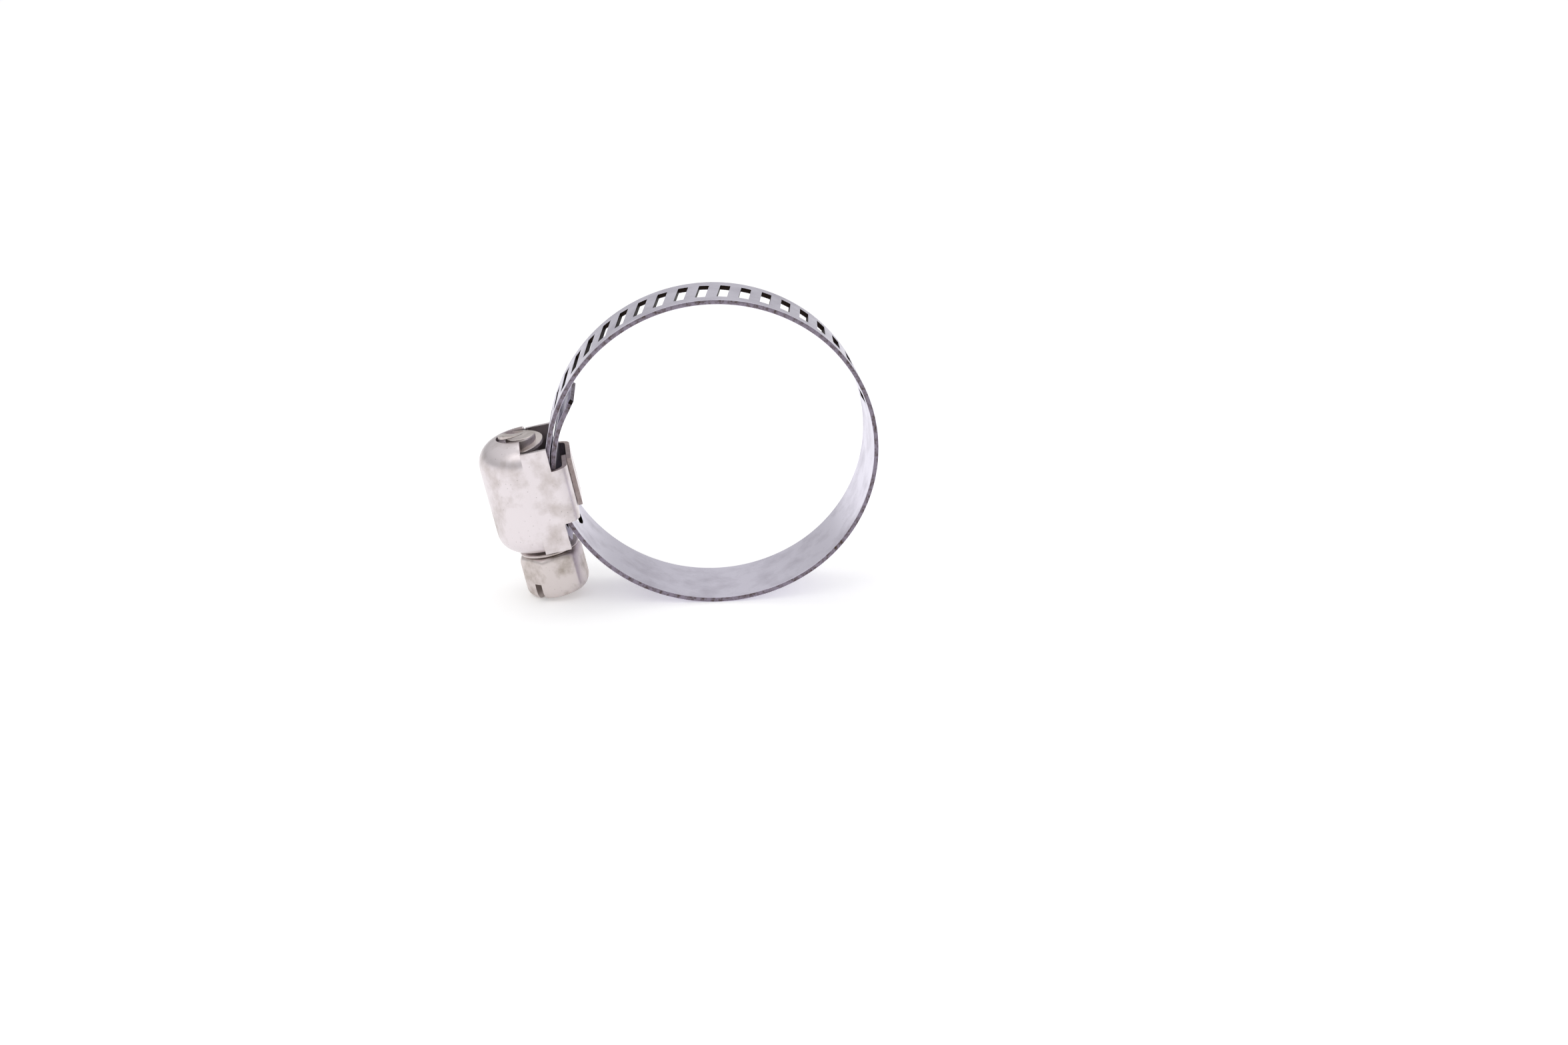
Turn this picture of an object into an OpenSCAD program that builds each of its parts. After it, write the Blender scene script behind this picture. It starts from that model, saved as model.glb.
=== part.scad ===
// Perforated-band worm-drive hose clamp, standing on its ring with the screw's head down.
// Origin: centre of the circle that the hose fills. +Y runs along the hose, +Z is up.
// The band is one strip on the real clamp; here it is a chain of arcs that hinge on each other.

/* [Band] */
// Width of the band
band_w = 12.7; // [12:0.1:13]
// Thickness of the band
band_t = 0.7; // [0.6:0.05:0.8]
// Inside radius of the round side of the ring, where the hose seats
seat_r = 22.765; // [22.6:0.005:22.9]
// How far the centre of the flatter arcs lies to the left of the seat's centre
oval_x = 1.2; // [1.1:0.05:1.3]
// Half the angle of the round side
seat_half_angle = 57; // [56:0.5:58]

/* [Slots] */
// Distance from slot to slot along the band's middle
slot_pitch = 3.175; // [3.1:0.005:3.2]
// Length of a slot across the band
slot_len = 8; // [7:0.1:9]
// Width of a slot along the band
slot_w = 1.5; // [1.4:0.05:1.6]
// Lean of the slots, the same way as the worm's thread
slot_lean = 7; // [5:0.5:9]

/* [Housing] */
// Lean of the screw's axis from upright
lean = 11.24; // [10:0.01:12]
// Width of the housing, along the hose
housing_w = 14.7; // [14.6:0.05:15]
// Thickness of the housing's sheet
sheet = 0.7; // [0.6:0.05:0.8]
// Corner radius of the crown at the screw's tip
tip_round = 3.9; // [3.5:0.1:4.2]
// Corner radius of the crown at the screw's head
head_round = 3.2; // [2.4:0.1:3.6]

/* [Screw] */
// Size of the hexagon across its flats
hex_af = 9.3; // [9:0.1:9.6]
// Diameter of the circle that trims the hexagon's corners
hex_trim_d = 10.05; // [9.8:0.05:10.4]
// Radius of the thread's crest
thread_r = 3.3; // [3.1:0.05:3.4]
// Radius of the thread's root
root_r = 2.3; // [2.2:0.1:2.6]

/* [Hidden] */
$fn = 96;
eps = 0.02;

// The ring's oval: a round arc on the right, and two flatter arcs, above and below.
oval_z = oval_x * tan(seat_half_angle);
flat_r = seat_r + norm([oval_x, oval_z]);
upper_c = [-oval_x, -oval_z];
lower_c = [-oval_x, oval_z];
mid_r = flat_r + band_t / 2;
deg_per_mm = 180 / (PI * mid_r);

// Hinges of the chain, as angles on the flatter arcs.
hinge_1 = -84;
hinge_2 = -60;
hinge_3 = 90 - 12.85 * deg_per_mm;
hinge_4 = 90 + 12.555 * deg_per_mm;
hinge_gap = 0.06;
nose_deg = (band_t / 2 + hinge_gap) * deg_per_mm;
join = 0.4;
hair = 0.01;

// Slots are counted leftwards from the top of the ring.
first_slot = -9;
last_slot = 16;
slot_start = -1.733;
function slot_angle(k) = 90 + (slot_start + k * slot_pitch) * deg_per_mm;

// The free end's tail curls in a little more tightly, so that it passes under the screw's head.
tail_r = 12.5;
tail_from = slot_angle(last_slot - 1) + 0.95 * deg_per_mm;
tail_deg_per_mm = 180 / (PI * (tail_r + band_t / 2));
tail_slot = tail_from + (slot_pitch - 0.95) * tail_deg_per_mm;
tail_to = tail_slot + 2.4 * tail_deg_per_mm;

// The fixed end runs under the free end through the housing and stops as a short tongue.
under_r = flat_r - band_t - 0.2;
under_bend_r = 15;
tongue_r = 18;
tongue_start = 176;
tongue_turn = 30;
tongue_corner = 1.8;
hole_angle = 208.6;
hole_w = 5.2;

// Housing frame: Z along the screw towards its tip, X towards the hose, origin abreast of the hose's centre.
screw_v = 28.6;
crown_v = 28.42;
crown_r = 7.4;
edge_v = 24.5;
wall_top = 6.8;
wall_bottom = -9.35;
tip_plane = 8.05;
head_plane = -9.8;
tip_hole_r = 3.7;
neck_hole_r = 3.6;
near_tab = [-5.2, 3.3];
far_tab = [-4.3, 3.4];
// Both tabs lean by the same angle; the far one's cut edge comes nearest to the hose.
tab_lean = 4;
tab_cut = 2.5;
far_tab_v = 21.65;
near_tab_v = far_tab_v + sheet / cos(tab_lean) + 0.05;
near_tab_edge = 0;
near_bend = 2.2;
far_bend = 2;

// Screw stations along its axis.
tip_end = 8.8;
thread_start = -9.2;
collar_top = -10.15;
flats_top = -10.95;
head_end = -18.2;
slot_depth = 3;
drive_slot_w = 1.4;
hex_turn = 14.6;
slot_turn = -126;

module in_housing() {
  translate([-oval_x, 0, 0]) rotate([0, -lean, 0]) children();
}

// A stretch of band: an arc about a centre in the XZ plane, from one angle to another.
// Where two arcs of one strip meet, one is slim by a hair, so that their faces never cross.
module band_arc(centre, radius, from, to, slim = 0) {
  translate([centre[0], 0, centre[1]]) rotate([90, 0, 0]) rotate([0, 0, from])
    rotate_extrude(angle = to - from) translate([radius + slim, slim - band_w / 2])
      square([band_t - 2 * slim, band_w - 2 * slim]);
}

// The round nose of a link, on its hinge's axis.
module nose(centre, angle) {
  translate([centre[0], 0, centre[1]]) rotate([0, -angle, 0]) translate([mid_r, 0, 0])
    rotate([90, 0, 0]) cylinder(r = band_t / 2, h = band_w, center = true, $fn = 32);
}

module slots(from, to) {
  for (k = [first_slot:last_slot])
    if (slot_angle(k) > from && slot_angle(k) < to)
      translate([upper_c[0], 0, upper_c[1]]) rotate([0, -slot_angle(k), 0])
        translate([mid_r, 0, 0]) rotate([-slot_lean, 0, 0])
          cube([4 * band_t, slot_len, slot_w], center = true);
}

// Where a point lies at an angle and a radius from a centre.
function polar(centre, radius, angle) = centre + radius * [cos(angle), sin(angle)];

// Centre of the tight bend that joins the lower arc to the arc under the free end.
bend_gap = under_r - under_bend_r;
low_gap = flat_r - under_bend_r;
bend_z = (bend_gap * bend_gap - low_gap * low_gap) / (4 * oval_z);
bend_x = -oval_x - sqrt(bend_gap * bend_gap - pow(bend_z + oval_z, 2));
bend_c = [bend_x, bend_z];
bend_from = 360 + atan2(bend_c[1] - lower_c[1], bend_c[0] - lower_c[0]);
bend_to = 360 + atan2(bend_c[1] - upper_c[1], bend_c[0] - upper_c[0]);
tongue_c = polar(upper_c, under_r - tongue_r, tongue_start);

module tongue() {
  difference() {
    band_arc(tongue_c, tongue_r, tongue_start - tongue_turn, tongue_start);
    for (s = [-1, 1])
      translate([tongue_c[0], 0, tongue_c[1]]) rotate([0, -(tongue_start - tongue_turn), 0])
        translate([tongue_r, s * band_w / 2, 0]) rotate([45, 0, 0])
          cube([6, tongue_corner, tongue_corner], center = true);
  }
}

module band_fixed_end() {
  color([0.86, 0.85, 0.9]) {
    tongue();
    band_arc(upper_c, under_r, tongue_start - join, bend_to + join, hair);
    difference() {
      union() {
        band_arc(bend_c, under_bend_r, bend_to, bend_from);
        band_arc(lower_c, flat_r, bend_from - join, 360 + hinge_1 - nose_deg, hair);
      }
      attachment_hole();
    }
  }
}

module attachment_hole() {
  translate([lower_c[0], 0, lower_c[1]]) rotate([0, -hole_angle, 0]) translate([flat_r, 0, 0])
    rotate([0, 90, 0]) cylinder(d = hole_w, h = 8, center = true);
}

module band_lower_link() {
  color([0.86, 0.85, 0.9]) {
    nose(lower_c, hinge_1);
    band_arc(lower_c, flat_r, hinge_1, hinge_2 - nose_deg);
  }
}

module band_seat_link() {
  color([0.86, 0.85, 0.9]) {
    nose(lower_c, hinge_2);
    difference() {
      union() {
        band_arc(lower_c, flat_r, hinge_2, -seat_half_angle + join, hair);
        band_arc([0, 0], seat_r, -seat_half_angle, seat_half_angle);
        band_arc(upper_c, flat_r, seat_half_angle - join, hinge_3 - nose_deg, hair);
      }
      seat_slots();
    }
  }
}

// Slots that lie on the round side, beyond the end of the upper arc.
function seat_slot_angle(k) = seat_half_angle
  - (seat_half_angle - slot_angle(k)) * mid_r / (seat_r + band_t / 2);

module seat_slots() {
  for (k = [first_slot:last_slot])
    if (slot_angle(k) < seat_half_angle)
      rotate([0, -seat_slot_angle(k), 0]) translate([seat_r + band_t / 2, 0, 0])
        rotate([-slot_lean, 0, 0]) cube([4 * band_t, slot_len, slot_w], center = true);
  slots(seat_half_angle, hinge_3);
}

module band_upper_link() {
  color([0.86, 0.85, 0.9]) {
    nose(upper_c, hinge_3);
    difference() {
      band_arc(upper_c, flat_r, hinge_3, hinge_4 - nose_deg);
      slots(hinge_3, hinge_4);
    }
  }
}

module band_free_end() {
  tail_c = polar(upper_c, flat_r - tail_r, tail_from);
  color([0.86, 0.85, 0.9]) {
    nose(upper_c, hinge_4);
    difference() {
      band_arc(upper_c, flat_r, hinge_4, tail_from);
      slots(hinge_4, tail_from);
    }
    difference() {
      band_arc(tail_c, tail_r, tail_from - join, tail_to, hair);
      translate([tail_c[0], 0, tail_c[1]]) rotate([0, -tail_slot, 0])
        translate([tail_r + band_t / 2, 0, 0]) rotate([-slot_lean, 0, 0])
          cube([4 * band_t, slot_len, slot_w], center = true);
    }
  }
}

// The crown's outline to turn about the screw's axis: a barrel with rounded ends, shrunk by inset.
module crown_outline(inset) {
  r = crown_r - inset;
  top = tip_plane - inset;
  low = head_plane + inset;
  rt = tip_round - inset;
  rh = head_round - inset;
  difference() {
    translate([0, low]) square([r, top - low]);
    translate([r - rt, top - rt]) difference() {
      square(rt + eps);
      circle(r = rt);
    }
    translate([r - rh, low - eps]) difference() {
      square([rh + eps, rh + eps]);
      translate([0, rh + eps]) circle(r = rh);
    }
  }
}

module crown_body(inset) {
  w = housing_w / 2 - inset;
  intersection() {
    rotate_extrude() crown_outline(inset);
    translate([-20, -w, -20]) cube([20 + eps, 2 * w, 40]);
  }
}

module walls(inset) {
  w = housing_w / 2 - inset;
  grow = inset > 0 ? 1 : 0;
  translate([0, -w, wall_bottom - 2 * grow])
    cube([screw_v - edge_v + grow, 2 * w, wall_top - wall_bottom + 4 * grow]);
}

// A tab folded from one side wall. v is where its face towards the hose lies at the cut edge's
// station, bend the fold's outer radius, to_y the tab's free edge, and span its ends along the screw.
module tab(side, v, bend, to_y, span) {
  h = span[1] - span[0];
  cy = side * (housing_w / 2 - bend);
  touch_y = cy + bend * sin(tab_lean);
  cx = screw_v - v - (touch_y + tab_cut) * tan(tab_lean) - bend * cos(tab_lean);
  flat_len = abs(to_y - touch_y) / cos(tab_lean);
  wall_x = screw_v - edge_v - eps;
  from = side > 0 ? tab_lean : -90;
  to = side > 0 ? 90 : tab_lean;
  translate([0, 0, span[0]]) {
    translate([cx, cy, 0]) {
      rotate([0, 0, from]) rotate_extrude(angle = to - from) translate([bend - sheet, 0])
        square([sheet, h]);
      rotate([0, 0, tab_lean]) translate([bend - sheet, side > 0 ? -flat_len : -eps, 0])
        cube([sheet, flat_len + eps, h]);
    }
    if (cx > wall_x)
      translate([wall_x, side > 0 ? housing_w / 2 - sheet : -housing_w / 2, 0])
        cube([cx - wall_x + eps, sheet, h]);
  }
}

module housing() {
  color([0.82, 0.79, 0.8]) in_housing() translate([-screw_v, 0, 0]) {
    difference() {
      union() {
        translate([screw_v - crown_v, 0, 0]) crown_body(0);
        walls(0);
      }
      translate([screw_v - crown_v, 0, 0]) crown_body(sheet);
      translate([-eps, 0, 0]) walls(sheet);
      translate([0, 0, tip_plane - 4]) cylinder(r = tip_hole_r, h = 6);
      translate([0, 0, head_plane - 1]) cylinder(r = neck_hole_r, h = 3);
    }
    tab(-1, near_tab_v, near_bend, near_tab_edge, near_tab);
    tab(1, far_tab_v, far_bend, -tab_cut, far_tab);
  }
}

// Cross-section of the worm: a bump that follows the thread's profile once around.
thread_points = 24;
crest_half = 0.26;
base_half = 0.46;
function thread_radius(offset) = offset < crest_half ? thread_r
  : offset > base_half ? root_r
  : thread_r - (thread_r - root_r) * (offset - crest_half) / (base_half - crest_half);
thread_outline = [for (i = [0:thread_points - 1])
  let (a = 360 * i / thread_points, offset = slot_pitch * min(a, 360 - a) / 360)
  thread_radius(offset) * [cos(a), sin(a)]];
thread_len = tip_end - thread_start;
// Turns the worm so that its thread stands in the slots.
mesh_slot = 14;
mesh_u = upper_c[1] * cos(lean) - mid_r * sin(slot_angle(mesh_slot) - 180 - lean);
thread_phase = -360 * (mesh_u - thread_start) / slot_pitch;

module head_outline() {
  r = hex_trim_d / 2;
  polygon(concat(
    [[0, collar_top], [3.4, collar_top], [4.6, collar_top - 0.2], [4.6, collar_top - 0.5],
     [4.3, flats_top]],
    [for (a = [60:-15:0]) [r - 1.1 + 1.1 * cos(a), flats_top - 1.2 + 1.1 * sin(a)]],
    [for (a = [0:-10:-70]) [r - 1.7 + 1.7 * cos(a), head_end + 1.95 + 1.7 * sin(a)]],
    [[0, head_end]]));
}

module worm_screw() {
  color([0.8, 0.76, 0.74]) in_housing() translate([-screw_v, 0, 0]) {
    difference() {
      intersection() {
        rotate_extrude() head_outline();
        union() {
          translate([0, 0, head_end - 1]) rotate([0, 0, hex_turn])
            cylinder(r = hex_af / sqrt(3), h = flats_top - head_end + 1, $fn = 6);
          translate([0, 0, flats_top - eps]) cylinder(r = 6, h = 3);
        }
      }
      rotate([0, 0, slot_turn]) translate([0, 0, head_end])
        cube([12, drive_slot_w, 2 * slot_depth], center = true);
    }
    translate([0, 0, collar_top - eps]) cylinder(r = 3.35, h = thread_start - collar_top + 2 * eps);
    translate([0, 0, thread_start]) rotate([0, 0, thread_phase])
      linear_extrude(height = thread_len, twist = -360 * thread_len / slot_pitch,
                     slices = round(14 * thread_len / slot_pitch), $fn = thread_points)
        polygon(thread_outline);
  }
}

housing();
worm_screw();
band_fixed_end();
band_lower_link();
band_seat_link();
band_upper_link();
band_free_end();
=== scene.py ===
"""A worm-drive hose clamp: the finished band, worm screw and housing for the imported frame.

Sizes here are in millimetres, and angles in degrees, unless a name says otherwise. The ring's seat
is centred on the origin, X points right, Y runs along the hose and Z points up.
"""

import math

import bmesh
import bpy
from mathutils import Matrix, Vector


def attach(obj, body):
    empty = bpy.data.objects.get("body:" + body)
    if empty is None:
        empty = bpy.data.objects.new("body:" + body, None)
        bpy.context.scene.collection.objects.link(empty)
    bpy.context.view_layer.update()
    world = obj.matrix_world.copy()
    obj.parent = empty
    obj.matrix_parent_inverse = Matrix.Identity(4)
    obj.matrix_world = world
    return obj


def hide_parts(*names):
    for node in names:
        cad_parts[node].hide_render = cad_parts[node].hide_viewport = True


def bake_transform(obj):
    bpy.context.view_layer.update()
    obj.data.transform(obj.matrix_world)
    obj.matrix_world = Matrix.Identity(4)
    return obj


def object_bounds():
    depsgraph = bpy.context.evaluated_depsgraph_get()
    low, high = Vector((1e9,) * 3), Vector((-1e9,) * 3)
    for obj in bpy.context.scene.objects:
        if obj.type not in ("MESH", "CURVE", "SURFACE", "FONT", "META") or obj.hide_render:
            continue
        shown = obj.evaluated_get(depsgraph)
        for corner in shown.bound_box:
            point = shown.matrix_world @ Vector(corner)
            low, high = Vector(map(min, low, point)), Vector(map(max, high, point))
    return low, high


bl_info = {
    "name": "Worm-drive hose clamp",
    "version": (1, 0, 0),
    "blender": (4, 5, 0),
    "location": "View3D > Sidebar > Clamp",
    "description": "Builds the band, worm screw and housing of a hose clamp around its frame",
    "category": "Object",
}

MM = 0.001
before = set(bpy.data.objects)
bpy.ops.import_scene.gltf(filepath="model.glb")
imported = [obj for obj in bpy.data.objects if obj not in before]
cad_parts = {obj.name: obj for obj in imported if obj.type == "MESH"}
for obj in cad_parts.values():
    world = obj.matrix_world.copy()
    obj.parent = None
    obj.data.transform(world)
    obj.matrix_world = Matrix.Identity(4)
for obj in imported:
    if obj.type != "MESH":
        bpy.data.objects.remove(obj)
cad_box = [list(map(float, corner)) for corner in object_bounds()]


# ---------------------------------------------------------------- sizes and colours


def mm(name, description, default):
    return bpy.props.FloatProperty(name=name, description=description, default=default, precision=3)


def swatch(name, description, default):
    return bpy.props.StringProperty(name=name, description=description, default=default)


class BandSizes(bpy.types.PropertyGroup):
    width: mm("Width", "Width of the strip", 12.7)
    thickness: mm("Thickness", "Thickness of the strip", 0.7)
    edge: mm("Edge", "Rounding of the strip's sheared edges", 0.05)
    station: mm("Station", "Length of one facet along the strip", 0.55)
    slot_length: mm("Slot length", "Length of a slot across the strip", 8.0)
    slot_width: mm("Slot width", "Width of a slot along the strip", 1.5)
    slot_corner: mm("Slot corner", "Radius of a slot's corners", 0.3)
    slot_lean: bpy.props.FloatProperty(
        name="Slot lean", description="How far the slots turn from square", default=7.0
    )
    hole_width: mm("Hole", "Diameter of the attachment hole", 5.2)
    tongue_corner: mm("Tongue corner", "Size of the cut corners of the tongue", 1.27)


class ScrewSizes(bpy.types.PropertyGroup):
    across_flats: mm("Across flats", "Width of the hexagon from flat to flat", 9.3)
    barrel: mm("Barrel", "Diameter of the circle that trims the hexagon's corners", 10.05)
    slot_width: mm("Slot width", "Width of the driver slot", 1.4)
    slot_depth: mm("Slot depth", "Depth of the driver slot", 3.0)
    crest_radius: mm("Crest radius", "Radius of the thread's crest", 3.3)
    root_radius: mm("Root radius", "Radius of the thread's root", 2.3)
    softness: mm("Softness", "How far the hexagon's edges are rounded over", 0.16)


class HousingSizes(bpy.types.PropertyGroup):
    width: mm("Width", "Width over the two side walls", 14.7)
    sheet: mm("Sheet", "Thickness of the sheet", 0.7)
    edge: mm("Edge", "Rounding of the sheet's edges", 0.1)
    near_bend: mm("Near bend", "Outer radius of the near tab's fold", 2.2)
    far_bend: mm("Far bend", "Outer radius of the far tab's fold", 2.0)


class StageSizes(bpy.types.PropertyGroup):
    floor_side: bpy.props.FloatProperty(
        name="Floor", description="Side of the floor, in metres", default=6.0
    )
    sky: bpy.props.FloatProperty(
        name="Sky", description="Strength of the white surroundings", default=0.86
    )


class Finishes(bpy.types.PropertyGroup):
    band: swatch("Band", "Rolled stainless steel of the band", "#E4E0EE")
    band_shade: swatch("Band shade", "Darker clouds on the band", "#CBC6D4")
    cut_edge: swatch("Cut edge", "Sheared edges of the band", "#8F8694")
    torn_edge: swatch("Torn edge", "Sheared edges of the housing's sheet", "#A99A98")
    # Slot walls: nearly black, a painted shade standing in for the shade inside the slots.
    slot_wall_shade: swatch("Slot wall shade", "Punched walls of the slots", "#2B2320")
    housing: swatch("Housing", "Pressed steel of the housing", "#E2DADD")
    housing_shade: swatch("Housing shade", "Darker clouds on the housing", "#C2B8B6")
    screw: swatch("Screw", "Cold-headed steel of the screw", "#D6CDCB")
    screw_shade: swatch("Screw shade", "Darker clouds on the screw", "#ABA098")
    grime: swatch("Grime", "Brown tarnish in pits and recesses", "#4A3A2C")
    floor: swatch("Floor", "The pale floor", "#FFFFFF")


# ---------------------------------------------------------------- the frame's own geometry

SEAT_R = 22.765
SEAT_HALF = 57.0
OVAL_X = 1.2
OVAL_Z = OVAL_X * math.tan(math.radians(SEAT_HALF))
FLAT_R = SEAT_R + math.hypot(OVAL_X, OVAL_Z)
THICK = 0.7
UPPER = (-OVAL_X, -OVAL_Z)
LOWER = (-OVAL_X, OVAL_Z)
DEG_PER_MM = 180 / (math.pi * (FLAT_R + THICK / 2))
PITCH = 3.175
FIRST_SLOT, LAST_SLOT = -9, 16
SLOT_START = -1.733
# The screw leans from upright by this much, and its axis passes the oval's centre this far away.
LEAN = 11.24
SCREW_V = 28.6
# Places in the list of the strip's arcs.
LOWER_RUN, SEAT_RUN, UPPER_RUN = 3, 4, 5
HOLE_ANGLE = 208.6


def polar(centre, radius, angle):
    """The point at an angle and a radius from a centre, in the XZ plane."""
    a = math.radians(angle)
    return (centre[0] + radius * math.cos(a), centre[1] + radius * math.sin(a))


def slot_angle(k):
    return 90 + (SLOT_START + k * PITCH) * DEG_PER_MM


def strip_runs():
    """The arcs that the strip follows from its tongue to its tail: centre, inner radius, angles."""
    under_r, bend_r, tongue_r, tail_r = FLAT_R - THICK - 0.2, 15.0, 18.0, 12.5
    gap, low_gap = under_r - bend_r, FLAT_R - bend_r
    bend_z = (gap**2 - low_gap**2) / (4 * OVAL_Z)
    bend = (-OVAL_X - math.sqrt(gap**2 - (bend_z + OVAL_Z) ** 2), bend_z)
    bend_to = 360 + math.degrees(math.atan2(bend[1] - UPPER[1], bend[0] - UPPER[0]))
    bend_from = 360 + math.degrees(math.atan2(bend[1] - LOWER[1], bend[0] - LOWER[0]))
    tail_from = slot_angle(LAST_SLOT - 1) + 0.95 * DEG_PER_MM
    tail_deg = 180 / (math.pi * (tail_r + THICK / 2))
    tail_to = tail_from + (PITCH - 0.95 + 2.4) * tail_deg
    return [
        (polar(UPPER, under_r - tongue_r, 176), tongue_r, 146, 176),
        (UPPER, under_r, 176, bend_to),
        (bend, bend_r, bend_to, bend_from),
        (LOWER, FLAT_R, bend_from, 360 - SEAT_HALF),
        ((0, 0), SEAT_R, 360 - SEAT_HALF, 360 + SEAT_HALF),
        (UPPER, FLAT_R, 360 + SEAT_HALF, 360 + tail_from),
        (polar(UPPER, FLAT_R - tail_r, tail_from), tail_r, 360 + tail_from, 360 + tail_to),
    ]


RUNS = strip_runs()


def run_length(run):
    _, radius, start, end = run
    return math.radians(end - start) * (radius + THICK / 2)


def along(index, angle):
    """Distance along the strip's middle, from the tongue's end to an angle on one of its arcs."""
    _, radius, start, _ = RUNS[index]
    before = sum(run_length(run) for run in RUNS[:index])
    return before + math.radians(angle - start) * (radius + THICK / 2)


def bend_point(s, across, height):
    """Where a point of the flat strip lies once the strip is bent round its arcs."""
    for run in RUNS:
        length = run_length(run)
        if s <= length or run is RUNS[-1]:
            break
        s -= length
    centre, radius, start, _ = run
    angle = start + math.degrees(s / (radius + THICK / 2))
    x, z = polar(centre, radius + height, angle)
    return Vector((x, across, z))


def in_housing():
    """From the housing's own frame, Z along the screw and X towards the hose, to the object's."""
    return (
        Matrix.Translation((-OVAL_X * MM, 0, 0))
        @ Matrix.Rotation(math.radians(-LEAN), 4, "Y")
        @ Matrix.Translation((-SCREW_V * MM, 0, 0))
    )


# ---------------------------------------------------------------- modelling helpers


def deselect():
    if bpy.context.object and bpy.context.object.mode != "OBJECT":
        bpy.ops.object.mode_set(mode="OBJECT")
    bpy.ops.object.select_all(action="DESELECT")


def pick(obj):
    """Makes obj the only selected object and the active one."""
    deselect()
    obj.select_set(True)
    bpy.context.view_layer.objects.active = obj
    return obj


def box_piece(name, centre, size):
    """A box to start from, at its size and place."""
    deselect()
    bpy.ops.mesh.primitive_cube_add(size=1, location=[c * MM for c in centre])
    obj = bpy.context.object
    obj.name = obj.data.name = name
    obj.scale = [s * MM for s in size]
    bpy.ops.object.transform_apply(location=True, rotation=True, scale=True)
    return obj


def modify(obj, kind, **settings):
    """Adds a modifier with its settings and applies it."""
    pick(obj)
    modifier = obj.modifiers.new(kind.title(), kind)
    for key, value in settings.items():
        setattr(modifier, key, value)
    bpy.ops.object.modifier_apply(modifier=modifier.name)
    return obj


def cut(obj, cutter, how="DIFFERENCE"):
    modify(obj, "BOOLEAN", object=cutter, operation=how, solver="EXACT")
    bpy.data.objects.remove(cutter)
    return obj


def join(pieces):
    deselect()
    for piece in pieces:
        piece.select_set(True)
    bpy.context.view_layer.objects.active = pieces[0]
    if len(pieces) > 1:
        bpy.ops.object.join()
    return bpy.context.object


def copy_at(obj, matrix):
    """A copy of obj with a mesh of its own, moved by a matrix."""
    twin = obj.copy()
    twin.data = obj.data.copy()
    bpy.context.scene.collection.objects.link(twin)
    twin.data.transform(matrix)
    return twin


def face_outwards(obj):
    pick(obj)
    bpy.ops.object.mode_set(mode="EDIT")
    bpy.ops.mesh.select_all(action="SELECT")
    bpy.ops.mesh.remove_doubles(threshold=0.000002)
    bpy.ops.mesh.normals_make_consistent(inside=False)
    bpy.ops.object.mode_set(mode="OBJECT")
    return obj


def smooth(obj, angle):
    pick(obj)
    bpy.ops.object.shade_smooth_by_angle(angle=math.radians(angle), keep_sharp_edges=True)
    modify(obj, "WEIGHTED_NORMAL", mode="FACE_AREA", weight=80, keep_sharp=True)
    return obj


def lathe(name, profile, steps=128, sweep=360):
    """A piece turned about Z from a profile of (radius, height) points, both ends on the axis."""
    deselect()
    mesh = bpy.data.meshes.new(name)
    points = [(r * MM, 0, z * MM) for r, z in profile]
    mesh.from_pydata(points, [(i, i + 1) for i in range(len(points) - 1)], [])
    obj = bpy.data.objects.new(name, mesh)
    bpy.context.scene.collection.objects.link(obj)
    pick(obj)
    bpy.ops.object.mode_set(mode="EDIT")
    bpy.ops.mesh.select_all(action="SELECT")
    bpy.ops.mesh.spin(
        steps=steps, angle=math.radians(sweep), center=(0, 0, 0), axis=(0, 0, 1), dupli=False
    )
    bpy.ops.object.mode_set(mode="OBJECT")
    return face_outwards(obj)


def arc(centre, radius, start, end, steps):
    return [polar(centre, radius, start + (end - start) * i / steps) for i in range(steps + 1)]


# ---------------------------------------------------------------- materials


def linear(code):
    """An sRGB hex colour as linear RGBA."""
    parts = [int(code[i : i + 2], 16) / 255 for i in (1, 3, 5)]
    return [p / 12.92 if p <= 0.04045 else ((p + 0.055) / 1.055) ** 2.4 for p in parts] + [1.0]


def add_node(tree, kind, inputs=None, links=None, **settings):
    """Adds a node, sets its properties and sockets, and links other nodes' outputs into it."""
    node = tree.nodes.new(kind)
    for key, value in settings.items():
        setattr(node, key, value)
    for key, value in (inputs or {}).items():
        node.inputs[key].default_value = value
    for key, socket in (links or {}).items():
        tree.links.new(socket, node.inputs[key])
    return node


def ramp(tree, factor, stops):
    """A colour ramp over (place, colour) stops."""
    node = add_node(tree, "ShaderNodeValToRGB", links={"Fac": factor})
    elements = node.color_ramp.elements
    while len(elements) < len(stops):
        elements.new(0.5)
    for element, (place, colour) in zip(elements, stops):
        element.position, element.color = place, colour
    return node


def grey(value):
    return [value, value, value, 1.0]


def per_metre(size_mm):
    """The texture scale that makes a feature about size_mm across."""
    return 1000 / size_mm


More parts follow.
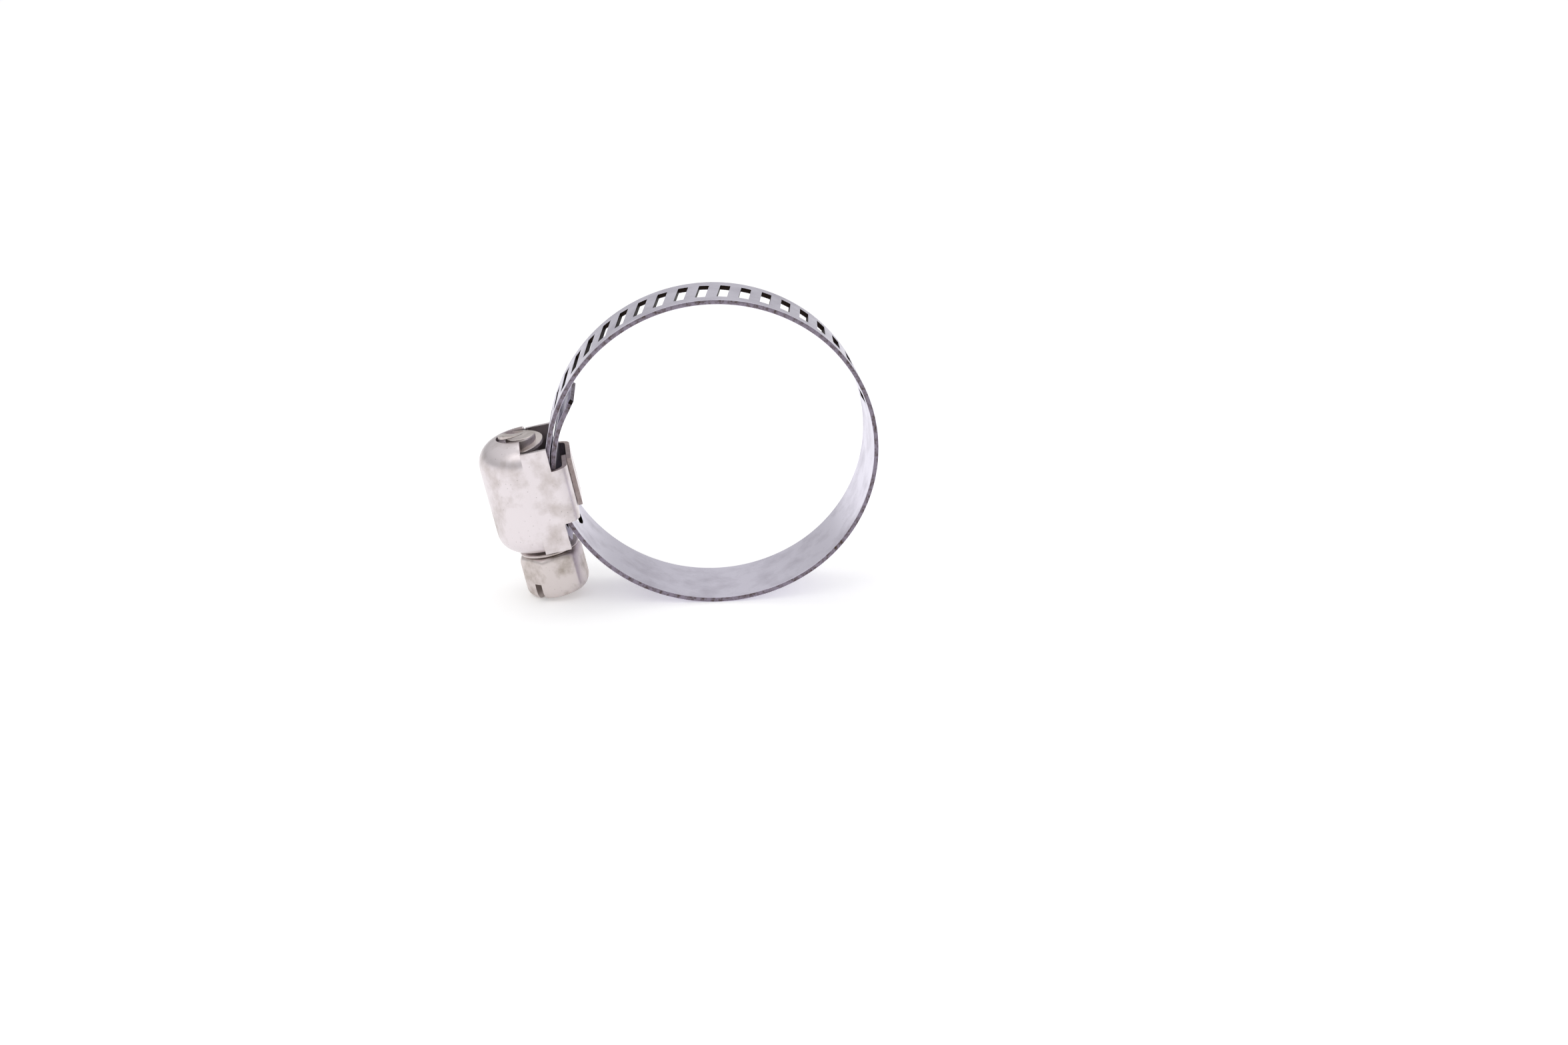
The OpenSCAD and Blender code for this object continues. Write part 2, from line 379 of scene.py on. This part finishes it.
def steel(name, colour, shade, roughness, cloud_mm, pit_mm, grain, pits, streaks=None):
    """Bare stainless steel: clouds of tarnish, fine grain, small pits, and rolling streaks."""
    material = bpy.data.materials.new(name)
    material.use_nodes = True
    tree = material.node_tree
    tree.nodes.clear()
    coords = add_node(tree, "ShaderNodeTexCoord")
    place = coords.outputs["Object"]
    cloud = add_node(
        tree,
        "ShaderNodeTexNoise",
        {"Scale": per_metre(cloud_mm), "Detail": 5.0, "Roughness": 0.6},
        {"Vector": place},
    )
    fine = add_node(
        tree,
        "ShaderNodeTexNoise",
        {"Scale": per_metre(0.12), "Detail": 3.0, "Roughness": 0.7},
        {"Vector": place},
    )
    pit = add_node(
        tree,
        "ShaderNodeTexVoronoi",
        {"Scale": per_metre(pit_mm), "Randomness": 1.0},
        {"Vector": place},
    )
    tone = ramp(
        tree,
        cloud.outputs["Fac"],
        [(0.3, linear(shade)), (0.55, linear(colour)), (1.0, linear(colour))],
    )
    # Pits are rare: only the heart of a cell, and only where a second noise is high.
    pit_mask = ramp(tree, pit.outputs["Distance"], [(0.0, grey(pits)), (0.16, grey(0.0))])
    where = ramp(tree, fine.outputs["Fac"], [(0.45, grey(0.0)), (0.62, grey(1.0))])
    masked = add_node(
        tree,
        "ShaderNodeMath",
        links={0: pit_mask.outputs["Color"], 1: where.outputs["Color"]},
        operation="MULTIPLY",
    )
    coloured = add_node(
        tree,
        "ShaderNodeMix",
        links={0: masked.outputs[0], 6: tone.outputs["Color"]},
        data_type="RGBA",
    )
    coloured.inputs[7].default_value = linear(settings().grime)
    rough = add_node(
        tree,
        "ShaderNodeMapRange",
        {"To Min": roughness + 0.12, "To Max": roughness - 0.06},
        {"Value": cloud.outputs["Fac"]},
    )
    height = fine.outputs["Fac"]
    if streaks:
        flow = add_node(tree, "ShaderNodeUVMap", uv_map="Strip")
        stretch = add_node(
            tree, "ShaderNodeMapping", {"Scale": streaks}, {"Vector": flow.outputs["UV"]}
        )
        lines = add_node(
            tree,
            "ShaderNodeTexNoise",
            {"Scale": 1.0, "Detail": 4.0, "Roughness": 0.6},
            {"Vector": stretch.outputs["Vector"]},
        )
        both = add_node(
            tree,
            "ShaderNodeMath",
            links={0: lines.outputs["Fac"], 1: fine.outputs["Fac"]},
            operation="ADD",
        )
        height = both.outputs[0]
    dip = add_node(
        tree,
        "ShaderNodeMath",
        {1: 3.0},
        {0: masked.outputs[0]},
        operation="MULTIPLY",
    )
    relief = add_node(
        tree,
        "ShaderNodeMath",
        links={0: height, 1: dip.outputs[0]},
        operation="SUBTRACT",
    )
    bump = add_node(
        tree,
        "ShaderNodeBump",
        {"Strength": grain, "Distance": 0.00002},
        {"Height": relief.outputs[0]},
    )
    shader = add_node(
        tree,
        "ShaderNodeBsdfPrincipled",
        {"Metallic": 1.0},
        {
            "Base Color": coloured.outputs[2],
            "Roughness": rough.outputs["Result"],
            "Normal": bump.outputs["Normal"],
        },
    )
    add_node(
        tree, "ShaderNodeOutputMaterial", links={"Surface": shader.outputs["BSDF"]}
    )
    return material


def settings():
    return bpy.context.scene.clamp_finishes


def sheared_steel(name, colour, shade):
    """A sheared or punched edge: dull, darker, with a grain of short tears across it."""
    return steel(name, colour, shade, 0.5, 0.8, 0.5, 0.9, 0.4)


# ---------------------------------------------------------------- the band


def slot_cutters(sizes, start, end):
    """One cutter for each slot whose centre lies between two places along the strip."""
    zero = along(UPPER_RUN, 450)
    first = None
    cutters = []
    for k in range(FIRST_SLOT, LAST_SLOT + 1):
        place = zero + SLOT_START + k * PITCH
        if not start < place < end:
            continue
        if first is None:
            first = box_piece("Slot", (0, 0, 0), (sizes.slot_width, sizes.slot_length, 4))
            pick(first)
            bpy.ops.object.mode_set(mode="EDIT")
            bpy.ops.mesh.select_all(action="DESELECT")
            edit = bmesh.from_edit_mesh(first.data)
            for edge in edit.edges:
                span = edge.verts[0].co - edge.verts[1].co
                edge.select_set(abs(span.z) > 1 * MM)
            bmesh.update_edit_mesh(first.data)
            bpy.ops.mesh.bevel(offset=sizes.slot_corner * MM, segments=4, affect="EDGES")
            bpy.ops.object.mode_set(mode="OBJECT")
        turn = Matrix.Rotation(math.radians(sizes.slot_lean), 4, "Z")
        cutters.append(copy_at(first, Matrix.Translation((place * MM, 0, 0)) @ turn))
    if first is not None:
        bpy.data.objects.remove(first)
    return cutters


def bisect(x, clear_low=False, clear_high=False):
    """Cuts the active mesh, in edit mode, by a plane across the strip."""
    bpy.ops.mesh.select_all(action="SELECT")
    bpy.ops.mesh.bisect(
        plane_co=(x * MM, 0, 0),
        plane_no=(1, 0, 0),
        use_fill=clear_low or clear_high,
        clear_inner=clear_low,
        clear_outer=clear_high,
    )


def strip_piece(name, start, end, cutters, open_start, open_end):
    """A length of the band: cut flat with its slots, its edges rounded, and then bent.

    An open end continues in the next piece, so it is cut square after the edges are rounded."""
    sizes = bpy.context.scene.clamp_band
    spare = 1.5
    low = start - (spare if open_start else 0)
    high = end + (spare if open_end else 0)
    strip = box_piece(
        name,
        ((low + high) / 2, 0, sizes.thickness / 2),
        (high - low, sizes.width, sizes.thickness),
    )
    if cutters:
        cut(strip, join(cutters))
    modify(
        strip,
        "BEVEL",
        width=sizes.edge * MM,
        segments=2,
        limit_method="ANGLE",
        angle_limit=math.radians(60),
        use_clamp_overlap=False,
    )
    pick(strip)
    bpy.ops.object.mode_set(mode="EDIT")
    if open_start:
        bisect(start, clear_low=True)
    if open_end:
        bisect(end, clear_high=True)
    count = max(2, round((end - start) / sizes.station))
    stations = [start + (end - start) * i / count for i in range(1, count)]
    for x in sorted(stations + [start + 0.06, end - 0.06]):
        bisect(x)
    bpy.ops.object.mode_set(mode="OBJECT")

    mesh = strip.data
    for finish in ("band", "edge", "wall"):
        mesh.materials.append(bpy.data.materials[BAND_MATERIALS[finish]])
    half = sizes.width / 2
    for face in mesh.polygons:
        centre = face.center / MM
        if abs(face.normal.z) < 0.35:
            inside = abs(centre.y) < half - 0.5 and start + 0.1 < centre.x < end - 0.1
            # Side faces inside the strip's width, the slot and hole walls, get the painted shade
            # material.
            face.material_index = 2 if inside else 1
    layer = mesh.uv_layers.new(name="Strip")
    for loop in mesh.loops:
        point = mesh.vertices[loop.vertex_index].co
        layer.data[loop.index].uv = (point.x / MM / 100, point.y / MM / 100 + 0.5)
    for vertex in mesh.vertices:
        flat = vertex.co / MM
        vertex.co = bend_point(flat.x, flat.y, flat.z) * MM
    face_outwards(strip)
    smooth(strip, 50)
    return strip


def across_hinge(piece):
    """Bakes a piece's placement into its mesh."""
    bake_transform(piece)


BAND_MATERIALS = {
    "band": "Rolled stainless strip",
    "edge": "Sheared stainless edge",
    "wall": "Painted shade of the slot walls",
}


class CLAMP_OT_band(bpy.types.Operator):
    """Makes the slotted band in four lengths that meet face to face"""

    bl_idname = "clamp.band"
    bl_label = "Make the band"

    def execute(self, context):
        sizes, looks = context.scene.clamp_band, context.scene.clamp_finishes
        # Cold-rolled strip: bright, with soft clouds and faint lines along the rolling direction.
        steel(
            BAND_MATERIALS["band"],
            looks.band,
            looks.band_shade,
            0.3,
            5.0,
            1.1,
            0.25,
            0.55,
            streaks=(25.0, 900.0, 1.0),
        )
        # Sheared edge: duller and darker than the rolled face, torn across its thickness.
        sheared_steel(BAND_MATERIALS["edge"], looks.cut_edge, looks.grime)
        # Punched wall: rough, its colour painted nearly black as the shade inside the slots and the
        # hole.
        sheared_steel(BAND_MATERIALS["wall"], looks.slot_wall_shade, looks.slot_wall_shade)

        ends = [0.0, along(LOWER_RUN, 288), along(SEAT_RUN, 360), along(UPPER_RUN, 450)]
        ends.append(sum(run_length(run) for run in RUNS))

        fixed_cutters = []
        deselect()
        bpy.ops.mesh.primitive_cylinder_add(
            vertices=64,
            radius=sizes.hole_width / 2 * MM,
            depth=4 * MM,
            location=(along(LOWER_RUN, HOLE_ANGLE) * MM, 0, 0),
        )
        bpy.ops.object.transform_apply(location=True, rotation=True, scale=True)
        fixed_cutters.append(bpy.context.object)
        side = sizes.tongue_corner * math.sqrt(2)
        for y in (-sizes.width / 2, sizes.width / 2):
            corner = box_piece("Corner", (0, 0, 0), (side, side, 4))
            corner.data.transform(Matrix.Rotation(math.radians(45), 4, "Z"))
            corner.data.transform(Matrix.Translation((0, y * MM, 0)))
            fixed_cutters.append(corner)

        fixed = strip_piece("Band_fixed_end", ends[0], ends[1], fixed_cutters, False, True)
        lower = strip_piece("Band_lower_run", ends[1], ends[2], [], True, True)
        side_run = strip_piece(
            "Band_side_run", ends[2], ends[3], slot_cutters(sizes, ends[2], ends[3]), True, True
        )
        free = strip_piece(
            "Band_free_end", ends[3], ends[4], slot_cutters(sizes, ends[3], ends[4]), True, False
        )
        across_hinge(fixed)
        across_hinge(lower)
        across_hinge(side_run)
        across_hinge(free)
        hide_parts("band_fixed_end")
        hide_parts("band_lower_link")
        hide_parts("band_seat_link")
        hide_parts("band_upper_link", "band_free_end")
        return {"FINISHED"}


# ---------------------------------------------------------------- the worm screw

# Stations along the screw's axis, from its head (low) to its tip (high).
COLLAR_TOP, FLATS_TOP, HEAD_END = -10.15, -10.95, -18.2
THREAD_FROM, THREAD_TO = -9.2, 8.8
MESH_SLOT = 14
CORE_END = 7.75
CREST_HALF, BASE_HALF = 0.26, 0.46
HEX_TURN, SLOT_TURN = 14.6, -126.0


def head_profile(sizes):
    """The turned outline of the screw without its hexagon: end face, barrel, collar and core."""
    r = sizes.barrel / 2
    points = [(0, HEAD_END), (1.3, HEAD_END + 0.08), (2.6, HEAD_END + 0.2)]
    points += arc((r - 1.7, HEAD_END + 1.95), 1.7, -75, 0, 14)
    points += [(r, HEAD_END + 1.95 + i * 0.42) for i in range(1, 8)]
    points += arc((r - 1.1, FLATS_TOP - 1.1), 1.1, 0, 80, 8)
    points += [(3.6, FLATS_TOP + 0.02), (3.6, FLATS_TOP + 0.1)]
    points += arc((4.35, COLLAR_TOP - 0.45), 0.25, -90, 90, 8)
    points += [(3.6, COLLAR_TOP), (3.35, COLLAR_TOP + 0.08), (3.35, THREAD_FROM)]
    points += [(sizes.root_radius, THREAD_FROM + 0.3), (sizes.root_radius, CORE_END - 0.35)]
    points += arc((sizes.root_radius - 0.35, CORE_END - 0.35), 0.35, 0, 90, 5)
    points += [(1.0, CORE_END - 0.12), (0, CORE_END - 0.25)]
    return points


def hexagon_reach(angle, sizes):
    """Distance from the axis to the hexagon's side, in a direction."""
    from_middle = (angle - HEX_TURN) % 60 - 30
    return sizes.across_flats / 2 / math.cos(math.radians(from_middle))


def soft_min(a, b, k):
    """The smaller of two lengths, with the corner where they cross rounded over."""
    h = max(k - abs(a - b), 0) / k
    return min(a, b) - h * h * k / 4


def screw_body(sizes):
    body = lathe("Screw_head", head_profile(sizes), steps=180)
    for vertex in body.data.vertices:
        x, y, z = vertex.co / MM
        if z > FLATS_TOP - 0.005:
            continue
        reach = math.hypot(x, y)
        if reach < 2:
            continue
        side = hexagon_reach(math.degrees(math.atan2(y, x)), sizes)
        scale = soft_min(reach, side, 4 * sizes.softness) / reach
        vertex.co = Vector((x * scale, y * scale, z)) * MM
    slot = box_piece(
        "Driver_slot",
        (0, 0, HEAD_END),
        (14, sizes.slot_width, 2 * sizes.slot_depth),
    )
    slot.data.transform(Matrix.Rotation(math.radians(SLOT_TURN), 4, "Z"))
    return cut(body, slot)


def worm_thread(sizes):
    """The thread's ridge, swept round the core with the screw modifier and cut off at the tip."""
    mesh_u = UPPER[1] * math.cos(math.radians(LEAN)) - (FLAT_R + THICK / 2) * math.sin(
        math.radians(slot_angle(MESH_SLOT) - 180 - LEAN)
    )
    turns = math.ceil((THREAD_TO - THREAD_FROM) / PITCH) + 2
    start_u = mesh_u - 4 * PITCH
    inner = sizes.root_radius - 0.25
    profile = [
        (inner, -BASE_HALF - 0.05),
        (sizes.root_radius, -BASE_HALF),
        (sizes.crest_radius - 0.06, -CREST_HALF - 0.02),
        (sizes.crest_radius, -CREST_HALF + 0.06),
        (sizes.crest_radius, CREST_HALF - 0.06),
        (sizes.crest_radius - 0.06, CREST_HALF + 0.02),
        (sizes.root_radius, BASE_HALF),
        (inner, BASE_HALF + 0.05),
    ]
    deselect()
    mesh = bpy.data.meshes.new("Screw_thread")
    points = [(r * MM, 0, (start_u + u) * MM) for r, u in profile]
    mesh.from_pydata(points, [(i, (i + 1) % len(points)) for i in range(len(points))], [])
    thread = bpy.data.objects.new("Screw_thread", mesh)
    bpy.context.scene.collection.objects.link(thread)
    modify(
        thread,
        "SCREW",
        axis="Z",
        angle=math.radians(360),
        screw_offset=PITCH * MM,
        iterations=turns,
        steps=72,
        render_steps=72,
        use_smooth_shade=True,
    )
    pick(thread)
    bpy.ops.object.mode_set(mode="EDIT")
    for u, low, high in ((THREAD_FROM + 0.1, True, False), (THREAD_TO, False, True)):
        bpy.ops.mesh.select_all(action="SELECT")
        bpy.ops.mesh.bisect(
            plane_co=(0, 0, u * MM),
            plane_no=(0, 0, 1),
            use_fill=True,
            clear_inner=low,
            clear_outer=high,
        )
    bpy.ops.object.mode_set(mode="OBJECT")
    return face_outwards(thread)


class CLAMP_OT_screw(bpy.types.Operator):
    """Makes the worm screw: its slotted hexagon head, collar and core, and its thread"""

    bl_idname = "clamp.screw"
    bl_label = "Make the worm screw"

    def execute(self, context):
        sizes, looks = context.scene.clamp_screw, context.scene.clamp_finishes
        # Cold-headed steel, tumbled: satin with small dark dents and a warm tone.
        finish = steel(
            "Tumbled screw steel", looks.screw, looks.screw_shade, 0.34, 3.0, 0.7, 0.35, 0.9
        )
        for piece in (screw_body(sizes), worm_thread(sizes)):
            piece.data.transform(in_housing())
            face_outwards(piece)
            piece.data.materials.clear()
            piece.data.materials.append(finish)
            smooth(piece, 32)
            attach(piece, "screw")
        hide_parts("worm_screw")
        return {"FINISHED"}


# ---------------------------------------------------------------- the housing


# Stations along the screw's axis: the walls' edges and the crown's two domed ends.
WALL_TOP, WALL_BOTTOM = 6.8, -9.35
TIP_PLANE, HEAD_PLANE = 8.05, -9.8
TIP_ROUND, HEAD_ROUND = 3.9, 3.2
TIP_HOLE, NECK_HOLE = 3.7, 3.6
CROWN_X = SCREW_V - 28.42
EDGE_X = SCREW_V - 24.5
TAB_LEAN, TAB_CUT = 4.0, 2.5
FAR_TAB_V, TAB_GAP = 21.65, 0.05
NEAR_TAB_SPAN, FAR_TAB_SPAN = (-5.2, 3.3), (-4.3, 3.4)


def crown_profile(radius, inset):
    """The barrel that the crown is a half of, shrunk by inset, from axis to axis."""
    r, top, low = radius - inset, TIP_PLANE - inset, HEAD_PLANE + inset
    rt, rh = TIP_ROUND - inset, HEAD_ROUND - inset
    points = [(0, low), (1.5, low)]
    points += arc((r - rh, low + rh), rh, -90, 0, 12)
    points += [(r, low + rh + (top - rt - low - rh) * i / 5) for i in range(1, 5)]
    points += arc((r - rt, top - rt), rt, 0, 90, 14)
    return points + [(1.5, top), (0, top)]


def shell_solid(sizes, inset):
    """The crown and the box between the walls, as one solid, shrunk by inset."""
    half = sizes.width / 2 - inset
    reach = inset * 3
    crown = lathe("Crown", crown_profile(sizes.width / 2, inset), steps=112)
    keep = box_piece("Keep", (CROWN_X / 2 - 10, 0, 0), (20 + CROWN_X, 2 * half + 1, 40))
    keep.data.transform(Matrix.Translation((-CROWN_X / 2 * MM, 0, 0)))
    cut(crown, keep, "INTERSECT")
    crown.data.transform(Matrix.Translation((CROWN_X * MM, 0, 0)))
    box = box_piece(
        "Walls",
        ((CROWN_X + EDGE_X + reach) / 2 - 0.01, 0, (WALL_TOP + WALL_BOTTOM) / 2),
        (EDGE_X - CROWN_X + reach + 0.02, 2 * half, WALL_TOP - WALL_BOTTOM + 4 * reach),
    )
    return cut(crown, box, "UNION")


def tab(sizes, side, v, bend, end_y, span):
    """A tab folded in from one side wall: its outline in section, extruded along the screw."""
    lean = math.radians(TAB_LEAN)
    outer, inner = sizes.width / 2, sizes.width / 2 - sizes.sheet
    cy = side * (outer - bend)
    touch = cy + bend * math.sin(lean)
    cx = SCREW_V - v - (touch + TAB_CUT) * math.tan(lean) - bend * math.cos(lean)
    length = abs(end_y - touch) / math.cos(lean)
    way = Vector((-math.sin(lean), math.cos(lean))) * (1 if side < 0 else -1)
    start = side * 90
    root = EDGE_X - 0.6

    def fold(radius):
        return [Vector(p) for p in arc((cx, cy), radius, start, TAB_LEAN, 10)]

    outside, inside = fold(bend), fold(bend - sizes.sheet)
    outline = [Vector((root, side * outer))] + outside + [outside[-1] + way * length]
    outline += [inside[-1] + way * length] + inside[::-1] + [Vector((root, side * inner))]
    deselect()
    mesh = bpy.data.meshes.new("Tab")
    points = [(p.x * MM, p.y * MM, span[0] * MM) for p in outline]
    mesh.from_pydata(points, [], [list(range(len(points)))])
    piece = bpy.data.objects.new("Tab", mesh)
    bpy.context.scene.collection.objects.link(piece)
    pick(piece)
    bpy.ops.object.mode_set(mode="EDIT")
    bpy.ops.mesh.select_all(action="SELECT")
    bpy.ops.mesh.extrude_region_move(
        TRANSFORM_OT_translate={"value": (0, 0, (span[1] - span[0]) * MM)}
    )
    bpy.ops.object.mode_set(mode="OBJECT")
    return face_outwards(piece)


def hole(radius, low, high):
    deselect()
    bpy.ops.mesh.primitive_cylinder_add(
        vertices=96,
        radius=radius * MM,
        depth=(high - low) * MM,
        location=(0, 0, (low + high) / 2 * MM),
    )
    bpy.ops.object.transform_apply(location=True, rotation=True, scale=True)
    return bpy.context.object


class CLAMP_OT_housing(bpy.types.Operator):
    """Makes the housing: half-round crown with domed ends, side walls and two folded tabs"""

    bl_idname = "clamp.housing"
    bl_label = "Make the housing"

    def execute(self, context):
        sizes, looks = context.scene.clamp_housing, context.scene.clamp_finishes
        # Deep-drawn sheet: bright satin with brownish clouds and small die marks.
        finish = steel(
            "Pressed housing steel", looks.housing, looks.housing_shade, 0.3, 4.0, 0.9, 0.3, 0.8
        )
        # Sheared sheet edge: greyer, torn.
        torn = sheared_steel("Sheared housing edge", looks.torn_edge, looks.housing_shade)
        housing = shell_solid(sizes, 0)
        housing.name = housing.data.name = "Housing_shell"
        near_v = FAR_TAB_V + sizes.sheet / math.cos(math.radians(TAB_LEAN)) + TAB_GAP
        cut(housing, shell_solid(sizes, sizes.sheet))
        cut(housing, hole(TIP_HOLE, TIP_PLANE - 4, TIP_PLANE + 2))
        cut(housing, hole(NECK_HOLE, HEAD_PLANE - 1, HEAD_PLANE + 2))
        cut(housing, tab(sizes, -1, near_v, sizes.near_bend, 0.0, NEAR_TAB_SPAN), "UNION")
        cut(housing, tab(sizes, 1, FAR_TAB_V, sizes.far_bend, -TAB_CUT, FAR_TAB_SPAN), "UNION")
        face_outwards(housing)
        modify(
            housing,
            "BEVEL",
            width=sizes.edge * MM,
            segments=2,
            limit_method="ANGLE",
            angle_limit=math.radians(50),
            use_clamp_overlap=True,
        )
        mesh = housing.data
        mesh.materials.append(finish)
        mesh.materials.append(torn)
        for face in mesh.polygons:
            x, y, z = face.center / MM
            ends = x > EDGE_X + 0.3 and abs(face.normal.z) > 0.8
            cut_side = x > EDGE_X + 1.4 and abs(face.normal.y) > 0.85 and abs(y) < 3
            face.material_index = 1 if ends or cut_side else 0
        mesh.transform(in_housing())
        face_outwards(housing)
        smooth(housing, 40)
        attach(housing, "clamp_body")
        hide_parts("housing")
        return {"FINISHED"}


# ---------------------------------------------------------------- the stage


# The camera, in metres: where it stands, what it looks at, and its focal length in millimetres.
CAMERA_AT, CAMERA_TO, CAMERA_LENS = (-0.01185, -0.24209, 0.0752), (0.0096, 0.0, -0.01335), 37.714


def area_light(name, place, target, size, power, colour="#FFFFFF"):
    deselect()
    bpy.ops.object.light_add(type="AREA", location=place)
    light = bpy.context.object
    light.name = name
    light.data.shape = "RECTANGLE"
    light.data.size, light.data.size_y = size
    light.data.energy = power
    light.data.color = linear(colour)[:3]
    aim = Vector(target) - Vector(place)
    light.rotation_euler = aim.to_track_quat("-Z", "Y").to_euler()
    return light


class CLAMP_OT_stage(bpy.types.Operator):
    """Sets the pale floor, the soft white surroundings, the lights and the camera"""

    bl_idname = "clamp.stage"
    bl_label = "Set the stage"

    def execute(self, context):
        scene, sizes = context.scene, context.scene.clamp_stage
        deselect()
        floor_z = cad_box[0][2] - 0.00002
        bpy.ops.mesh.primitive_plane_add(size=sizes.floor_side, location=(0, 0, floor_z))
        floor = context.object
        floor.name = "Floor"
        floor.select_set(False)
        material = bpy.data.materials.new("Matt white floor")
        material.use_nodes = True
        shader = material.node_tree.nodes["Principled BSDF"]
        shader.inputs["Base Color"].default_value = linear(scene.clamp_finishes.floor)
        shader.inputs["Roughness"].default_value = 1.0
        shader.inputs["Specular IOR Level"].default_value = 0.0
        shader.inputs["Emission Color"].default_value = linear(scene.clamp_finishes.floor)
        shader.inputs["Emission Strength"].default_value = 0.24
        floor.data.materials.append(material)

        world = bpy.data.worlds.new("Soft white room")
        scene.world = world
        world.use_nodes = True
        tree = world.node_tree
        tree.nodes.clear()
        coords = add_node(tree, "ShaderNodeTexCoord")
        split = add_node(
            tree, "ShaderNodeSeparateXYZ", links={"Vector": coords.outputs["Generated"]}
        )
        shade = ramp(
            tree,
            split.outputs["Z"],
            [(0.0, grey(0.55)), (0.2, grey(0.62)), (0.55, grey(0.9)), (1.0, grey(1.0))],
        )
        back = add_node(
            tree,
            "ShaderNodeBackground",
            {"Strength": sizes.sky},
            {"Color": shade.outputs["Color"]},
        )
        add_node(tree, "ShaderNodeOutputWorld", links={"Surface": back.outputs["Background"]})

        area_light("Key", (-0.35, -0.35, 0.5), (0, 0, 0), (0.35, 0.35), 0.35)
        area_light("Fill", (0.45, -0.3, 0.3), (0, 0, 0), (0.3, 0.3), 0.1)
        area_light("Top", (0.0, 0.15, 0.6), (0, 0, 0), (0.5, 0.3), 0.3)

        camera_data = bpy.data.cameras.new("Camera")
        camera = bpy.data.objects.new("Camera", camera_data)
        scene.collection.objects.link(camera)
        camera_data.sensor_width = 36.0
        camera_data.lens = CAMERA_LENS
        camera_data.clip_start = 0.01
        eye, target = Vector(CAMERA_AT), Vector(CAMERA_TO)
        camera.location = eye
        camera.rotation_euler = (target - eye).to_track_quat("-Z", "Y").to_euler()
        scene.camera = camera
        scene.view_settings.view_transform = "Standard"
        return {"FINISHED"}


# ---------------------------------------------------------------- panel and main


class CLAMP_PT_sidebar(bpy.types.Panel):
    """Lists the clamp's sizes and its steps"""

    bl_label = "Hose clamp"
    bl_idname = "CLAMP_PT_sidebar"
    bl_space_type = "VIEW_3D"
    bl_region_type = "UI"
    bl_category = "Clamp"

    def draw(self, context):
        layout = self.layout
        finishes = layout.box()
        finishes.label(text="Finishes")
        for key in Finishes.__annotations__:
            finishes.prop(context.scene.clamp_finishes, key)
        for title, group, step in PARTS:
            box = layout.box()
            box.label(text=title)
            values = getattr(context.scene, group)
            for key in values.__annotations__:
                box.prop(values, key)
            box.operator(step)


PARTS = [
    ("Band", "clamp_band", "clamp.band"),
    ("Worm screw", "clamp_screw", "clamp.screw"),
    ("Housing", "clamp_housing", "clamp.housing"),
    ("Stage", "clamp_stage", "clamp.stage"),
]
GROUPS = {
    "clamp_band": BandSizes,
    "clamp_screw": ScrewSizes,
    "clamp_housing": HousingSizes,
    "clamp_finishes": Finishes,
    "clamp_stage": StageSizes,
}
CLASSES = [
    *GROUPS.values(),
    CLAMP_OT_band,
    CLAMP_OT_screw,
    CLAMP_OT_housing,
    CLAMP_OT_stage,
    CLAMP_PT_sidebar,
]


def register():
    for cls in CLASSES:
        bpy.utils.register_class(cls)
    for name, group in GROUPS.items():
        setattr(bpy.types.Scene, name, bpy.props.PointerProperty(type=group))


def unregister():
    for name in GROUPS:
        delattr(bpy.types.Scene, name)
    for cls in reversed(CLASSES):
        bpy.utils.unregister_class(cls)


def main():
    register()
    bpy.ops.clamp.stage()
    bpy.ops.clamp.band()
    bpy.ops.clamp.screw()
    bpy.ops.clamp.housing()


if __name__ == "__main__":
    main()
